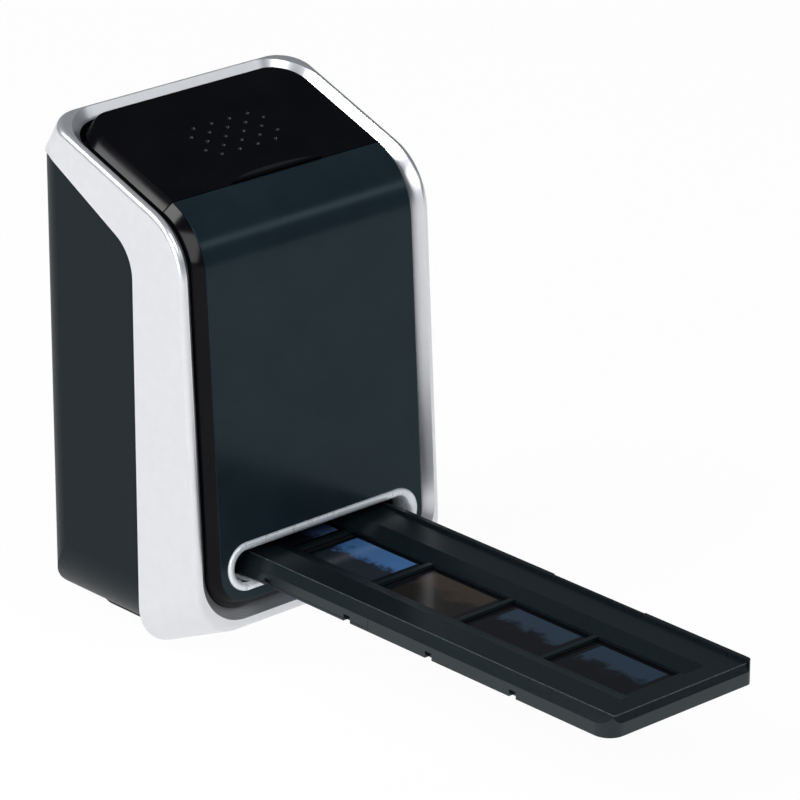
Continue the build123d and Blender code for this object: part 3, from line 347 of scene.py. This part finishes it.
def panel_outline(inset, n_side=110, n_turn=22, n_edge=48):
    """Closed outline of the front panel on the unrolled skin (x, t), drawn in by inset at the sides
    and bottom: two straight sides, two quarter circles, the bottom and the straight top edge."""
    half, low, r = PANEL_HALF - inset, front_t(PANEL_FOOT_Z) + inset, PANEL_CORNER - inset
    side = np.linspace(0, low + r, n_side, endpoint=False)
    turn = np.linspace(0, pi / 2, n_turn, endpoint=False)
    edge = np.linspace(-half + r, half - r, n_edge, endpoint=False)
    top = np.linspace(half, -half, 2 * n_edge, endpoint=False)
    x = np.concatenate([0 * side - half, -half + r - r * np.cos(turn), edge,
                        half - r + r * np.sin(turn), 0 * side + half, top])
    t = np.concatenate([side, low + r - r * np.sin(turn), 0 * edge + low,
                        low + r - r * np.cos(turn),
                        np.linspace(low + r, 0, n_side, endpoint=False), 0 * top])
    return x, t


def make_panel():
    """Front panel as rings on the unrolled skin. From outside in: the edge, the bevel with two small
    roundings, then rings that blend in a straight line from the outline to the slot's hole, which is a
    circle slid along a core line, and the wall of the hole. Each ring is laid on the skin."""
    rows = []
    for inset, depth in PANEL_BEVEL:
        x, t = panel_outline(inset)
        rows.append(skin(x, t, depth))
    flat_half = PANEL_HALF - PANEL_BEVEL[-1][0]
    slot_t = front_t(SLOT_Z)
    core = x * SLOT_CORE / flat_half
    reach = np.hypot(x - core, t - slot_t)
    hx, ht = core + SLOT_R * (x - core) / reach, slot_t + SLOT_R * (t - slot_t) / reach
    f = np.linspace(0, 1, BLEND_ROWS)[1:, None]
    face = skin(x + f * (hx - x), t + f * (ht - t), 0)
    wall = skin(hx[None, :], ht[None, :], np.array([[SLOT_MOUTH], [PANEL_T]]))
    ob = surface("panel_shell", np.concatenate([np.array(rows), face, wall]), gloss)
    ob.data.materials.append(strip)
    edge = np.zeros(len(ob.data.polygons), np.int32)
    edge[:STRIP_ROWS * len(x)] = 1
    ob.data.polygons.foreach_set("material_index", edge)
    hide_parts("front_panel")
    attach(ob, "scanner")


make_panel()


# ---------------------------------------------------------------- slot rim
RIM_INNER = 5.2                  # core line to the inner wall of the rim
RIM_SECTION = np.array([(3.0, -0.3), (3.0, 0.35), (2.93, 0.66), (2.72, 0.88), (2.4, 0.98), (2.0, 1.0),
                        (1.5, 0.93), (1.0, 0.74), (0.55, 0.4), (0.22, -0.05), (0.05, -0.6),
                        (0.0, -1.2), (0.0, -7.9)])  # distance from the inner wall, height over the face


def make_slot_rim():
    """Satin rim of the film slot: one rounded section, out to in and then into the slot, carried round
    the slot's outline, which is two straight runs and two half circles at a given distance from the
    core line. The front of the section stands up to a millimetre proud of the face."""
    a = np.linspace(0, pi, 49)
    run = np.linspace(-1, 1, 40)[1:-1]
    along = SLOT_CORE * np.concatenate([0 * a + 1, -run, 0 * a - 1, run])
    nx = np.concatenate([np.sin(a), 0 * run, -np.sin(a), 0 * run])
    nt = np.concatenate([-np.cos(a), 0 * run + 1, np.cos(a), 0 * run - 1])
    out, rise = RIM_INNER + RIM_SECTION[:, :1], RIM_SECTION[:, 1:]
    pts = skin(along + nx * out, front_t(SLOT_Z) + nt * out, -rise)
    ob = surface("slot_rim", pts, chrome, sharp=50)
    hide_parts("slot_ring")
    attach(ob, "scanner")


make_slot_rim()


# ---------------------------------------------------------------- lid
LID_BACK, LID_FRONT = 48.42, 0.4  # ends of the bevel along the skin
LID_BEVEL = ((46.62, 12.57, 3.1), (46.6, 12.5, 2.96), (43.62, 11.05, 0.08), (43.46, 10.98, -0.02))


def make_lid_edge():
    """Glossy bevel round the lid: a ruled strip through four outlines, each two straight sides and two
    quarter circles at the back, given by half width, corner radius and depth, laid on the skin a hair
    outside the lid."""
    turn = np.linspace(0, pi / 2, 24)
    rows = []
    for half, r, depth in LID_BEVEL:
        side = np.linspace(LID_FRONT, LID_BACK - r, 40, endpoint=False)
        rear = np.linspace(-half + r, half - r, 60)[1:-1]
        x = np.concatenate([0 * side - half, -half + r - r * np.cos(turn), rear,
                            half - r + r * np.sin(turn), 0 * side + half])
        t = np.concatenate([side, LID_BACK - r + r * np.sin(turn), 0 * rear + LID_BACK,
                            LID_BACK - r + r * np.cos(turn), side[::-1]])
        rows.append(skin(x, t, depth))
    ob = surface("lid_edge", np.array(rows)[::-1], strip, around=False)
    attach(ob, "lid")


make_lid_edge()


# ---------------------------------------------------------------- display frame
DISPLAY_HALF_X, DISPLAY_HALF_T, DISPLAY_CORNER, DISPLAY_MID_T = 25, 11.5, 1.6, 26.5
DISPLAY_SECTION = ((1.2, 9.98), (1.1, 6.9), (0.9, 6.62), (0.6, 6.5), (-1.1, 6.5), (-1.35, 6.58), (-1.5, 6.78))


def rounded_loop(half_x, half_t, r, mid):
    """Closed rounded rectangle on the lid plane: four quarter circles joined by straight sides."""
    a = np.linspace(0, pi / 2, 12)
    cos, sin = r * np.cos(a), r * np.sin(a)
    in_x, in_t = half_x - r, half_t - r
    x = np.concatenate([in_x + cos, -in_x - sin, -in_x - cos, in_x + sin])
    t = np.concatenate([in_t + sin, in_t + cos, -in_t - sin, -in_t - cos])
    return x, mid + t


def make_display_frame():
    """Frame round the display: one small section, out to in, carried round a rounded rectangle."""
    rows = []
    for out, depth in DISPLAY_SECTION:
        x, t = rounded_loop(DISPLAY_HALF_X + out, DISPLAY_HALF_T + out, DISPLAY_CORNER + out, DISPLAY_MID_T)
        rows.append(skin(x, t, depth))
    ob = surface("display_frame", np.array(rows), black)
    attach(ob, "scanner")


make_display_frame()


# ---------------------------------------------------------------- lid dots
DOT_ROWS, DOT_STEP, DOT_ROW_STEP, DOT_MID_T = 5, 7.6, 3.7, 22.4
DOT_R, DOT_LIP, DOT_DEEP = 0.88, 0.04, 0.68


def make_dot_bowls():
    """Shallow bowls in the lid's dots: rings of a circle whose depth falls with the square of the
    radius, all bowls in one mesh. The dots stand in five rows of four and five, half a step apart."""
    place = [((i - (3 + k % 2) / 2) * DOT_STEP, DOT_MID_T + (k - 2) * DOT_ROW_STEP)
             for k in range(DOT_ROWS) for i in range(4 + k % 2)]
    cx, ct = np.array(place).T[:, :, None, None]
    r = np.linspace(DOT_R, 0.01, 8)[None, :, None]
    a = circle(20)[None, None, :]
    depth = DOT_LIP + DOT_DEEP * (1 - (r / DOT_R) ** 2) + 0 * a + 0 * cx
    ob = surface("lid_dots", skin(cx + r * np.cos(a), ct + r * np.sin(a), depth), bowl, sharp=180)
    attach(ob, "lid")


make_dot_bowls()


# ---------------------------------------------------------------- holder bead
CREST_X, CREST_Y, CREST_BACK, CREST_RIGHT, BEAD_Z = -27.6, -203.8, 44.6, 29.0, 37.3
BEAD_R, BEAD_TURN = 0.2, 0.6


def make_cover_bead():
    """Fine rounded edge on the holder's cover: a small circle carried along the crest line, which runs
    down the left side and across the front, with its centre just under the crest. Its lighter colour is a
    painted highlight."""
    turn_x, turn_y = CREST_X + BEAD_TURN, CREST_Y + BEAD_TURN
    side = np.linspace(CREST_BACK, turn_y, 90)
    turn = np.linspace(0, pi / 2, 8)[1:-1]
    front = np.linspace(turn_x, CREST_RIGHT, 40)
    x = np.concatenate([0 * side + CREST_X, turn_x - BEAD_TURN * np.cos(turn), front])
    y = np.concatenate([side, turn_y - BEAD_TURN * np.sin(turn), 0 * front + CREST_Y])
    dx, dy = np.gradient(x), np.gradient(y)
    n = np.hypot(dx, dy)
    a = circle(10)[None, :]
    out, up = BEAD_R * np.cos(a), BEAD_Z + BEAD_R * np.sin(a)
    pts = np.stack([x[:, None] + out * (dy / n)[:, None],
                    y[:, None] - out * (dx / n)[:, None],
                    up + 0 * x[:, None]], -1) * MM
    ob = surface("cover_bead", pts[:, ::-1], bead, sharp=80)
    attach(ob, "holder")


make_cover_bead()


# ---------------------------------------------------------------- button dishes
BUTTONS, BUTTON_STEP, BUTTON_T, BUTTON_DEPTH = 5, 14.0, 9.0, 7.4
DISH_R, LIP_RINGS, LIP_TOP_R = 2.7, (3.05, 3.0, 2.9, 2.8), 2.9


def make_button_dishes():
    """Shallow dish let into each button's crown: rings of a circle whose depth under the crown's edge
    falls with the square of the radius, with a small rolled lip outside."""
    turn = circle(40)[None, :]
    r = np.concatenate([LIP_RINGS, np.linspace(DISH_R, 0.01, 10)])[:, None]
    lip = 0.16 - 4 * (r - LIP_TOP_R) ** 2
    lift = np.where(r > DISH_R + 0.05, lip, 0.02 + 0.12 * (r / DISH_R) ** 2)
    lift[0] = -0.05
    for i in range(BUTTONS):
        x = (i - (BUTTONS - 1) / 2) * BUTTON_STEP + r * np.cos(turn)
        t = BUTTON_T + r * np.sin(turn)
        ob = surface("button_dish_%d" % (i + 1), skin(x, t, BUTTON_DEPTH - lift), button)
        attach(ob, "button_%d" % (i + 1))


make_button_dishes()


# ---------------------------------------------------------------- floor and light
FLOOR_HALF, FLOOR_DROP, FLOOR_WHITE = 4.0, 0.0001, 0.97
AIM, AIM_HIGH = (0, 0, 0.09), (0, 0, 0.12)


def make_floor():
    """Pale floor that keeps a soft shadow. Camera, glossy and transmission rays see it almost white."""
    me = bpy.data.meshes.new("floor")
    r = FLOOR_HALF
    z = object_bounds()[0][2] - FLOOR_DROP
    me.from_pydata([(-r, -r, z), (r, -r, z), (r, r, z), (-r, r, z)], [], [(0, 1, 2, 3)])
    ob = bpy.data.objects.new("floor", me)
    bpy.context.scene.collection.objects.link(ob)
    m, t, b = shader("floor_paper", (0.92, 0.92, 0.92), 0.9)
    tint(t, b, noise(t, 3, 2), (0.90, 0.90, 0.90), (0.92, 0.92, 0.92))
    path = node(t, "LightPath")
    seen = sums(t, "MAXIMUM", (path, "Is Camera Ray"), (path, "Is Glossy Ray"))
    seen = sums(t, "MAXIMUM", (seen, "Value"), (path, "Is Transmission Ray"))
    share = sums(t, "MULTIPLY", (seen, "Value"), FLOOR_WHITE)
    mix_shaders(t, (share, "Value"), b, node(t, "Emission"), t.nodes["Material Output"])
    me.materials.append(m)


def make_world():
    """Dim room light, a little lighter low down, so that the lamps and the pale floor do the work.
    The camera alone sees it nearly white."""
    w = bpy.data.worlds.new("studio")
    bpy.context.scene.world = w
    w.use_nodes = True
    t = w.node_tree
    dim = t.nodes["Background"]
    dim.inputs["Strength"].default_value = 1.0
    xyz = node(t, "SeparateXYZ")
    fade = ramp(t, [(0.0, (0.16, 0.18, 0.20)), (0.5, (0.09, 0.10, 0.11))])
    link(t, node(t, "TexCoord"), "Generated", xyz, "Vector")
    link(t, xyz, "Z", fade, "Fac")
    link(t, fade, "Color", dim, "Color")
    pale = node(t, "Background", {"Color": (0.985, 0.985, 0.985, 1)})
    mix_shaders(t, (node(t, "LightPath"), "Is Camera Ray"), dim, pale, t.nodes["World Output"])


def lamp(name, at, to, width, power, height=None):
    l = bpy.data.lights.new(name, "AREA")
    l.shape = "RECTANGLE"
    l.size = width
    l.size_y = height or width
    l.energy = power
    ob = bpy.data.objects.new(name, l)
    bpy.context.scene.collection.objects.link(ob)
    ob.location = Vector(at)
    ob.rotation_euler = (Vector(to) - Vector(at)).to_track_quat("-Z", "Y").to_euler()


make_floor()
make_world()
lamp("key_left", (-1.15, 0.35, 1.35), AIM, 0.65, 20)
lamp("side_left", (-1.7, -0.6, 0.7), AIM, 1.0, 20)
lamp("high_front", (-0.2, -1.5, 1.7), AIM, 1.0, 14)
lamp("front_right", (1.15, -1.25, 0.92), AIM_HIGH, 0.9, 1.5, height=0.22)
